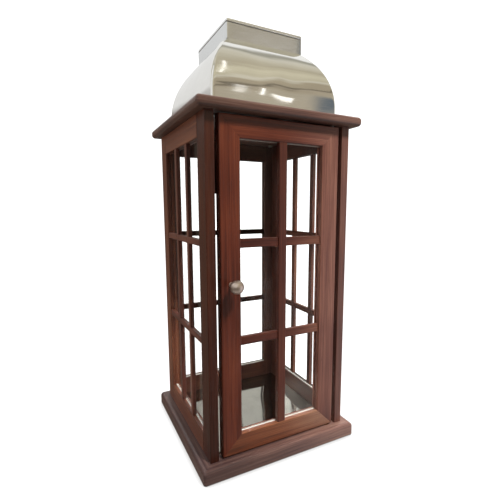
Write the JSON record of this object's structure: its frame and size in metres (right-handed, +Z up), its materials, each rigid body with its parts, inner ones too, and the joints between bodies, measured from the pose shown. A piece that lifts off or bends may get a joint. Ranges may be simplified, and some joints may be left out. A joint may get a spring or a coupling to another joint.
{
  "type": "candle lantern",
  "caption": "Tall square wooden candle lantern with glazed lattice sides, a hinged front door with a ball knob, and a curved polished steel roof with a square chimney.",
  "frame": {"origin": "middle of the base board's underside", "axes": "+Z up through the chimney, the door faces -Y, +X to the right seen from the front, door pivots at +X"},
  "size_m": [0.248, 0.2615, 0.6077],
  "materials": {
    "stained_wood": "red-brown stain, satin varnish",
    "dowel_wood": "bare",
    "glass": "clear, polished",
    "polished_steel": "polished stainless steel",
    "satin_steel": "satin stainless steel",
    "floor_steel": "bright rolled stainless steel",
    "knob_nickel": "satin nickel plate",
    "hardware_steel": "zinc plated",
    "catch_plastic": "brown, moulded",
    "magnet_black": "ground ferrite",
    "brass": "turned"
  },
  "bodies": {
    "case": {"back_bottom_rail": "stained_wood", "back_crossbar_1": "stained_wood", "back_crossbar_2": "stained_wood", "back_glass": "glass", "back_glass_beads": "stained_wood", "back_left_stile": "stained_wood", "back_right_stile": "stained_wood", "back_top_rail": "stained_wood", "back_upright_1": "stained_wood", "back_upright_2": "stained_wood", "base_board": "stained_wood", "base_screws": "hardware_steel", "catch_housing": "catch_plastic", "catch_magnet": "magnet_black", "catch_screws": "hardware_steel", "chimney": "satin_steel", "chimney_cap": "satin_steel", "floor_plate": "floor_steel", "left_bottom_rail": "stained_wood", "left_crossbar_1": "stained_wood", "left_crossbar_2": "stained_wood", "left_front_stile": "stained_wood", "left_glass": "glass", "left_glass_beads": "stained_wood", "left_rear_stile": "stained_wood", "left_top_rail": "stained_wood", "left_upright_1": "stained_wood", "left_upright_2": "stained_wood", "lower_pivot_pin": "hardware_steel", "pivot_washer": "brass", "right_bottom_rail": "stained_wood", "right_crossbar_1": "stained_wood", "right_crossbar_2": "stained_wood", "right_front_stile": "stained_wood", "right_glass": "glass", "right_glass_beads": "stained_wood", "right_rear_stile": "stained_wood", "right_top_rail": "stained_wood", "right_upright_1": "stained_wood", "right_upright_2": "stained_wood", "roof_screws": "hardware_steel", "roof_shell": "polished_steel", "top_board": "stained_wood", "top_dowels": "dowel_wood", "upper_pivot_pin": "hardware_steel"},
    "door": {"door_bottom_rail": "stained_wood", "door_crossbar_1": "stained_wood", "door_crossbar_2": "stained_wood", "door_glass": "glass", "door_glass_beads": "stained_wood", "door_hinge_stile": "stained_wood", "door_knob_stile": "stained_wood", "door_top_rail": "stained_wood", "door_upright": "stained_wood", "knob": "knob_nickel", "knob_screw": "hardware_steel", "strike_plate": "hardware_steel", "strike_screws": "hardware_steel"}
  },
  "joints": [
    {"name": "door_hinge", "type": "hinge", "parent": "case", "child": "door", "pos_m": [0.0845, -0.103, 0.248], "axis": [0, 0, 1], "range_deg": [0, 110]}
  ]
}
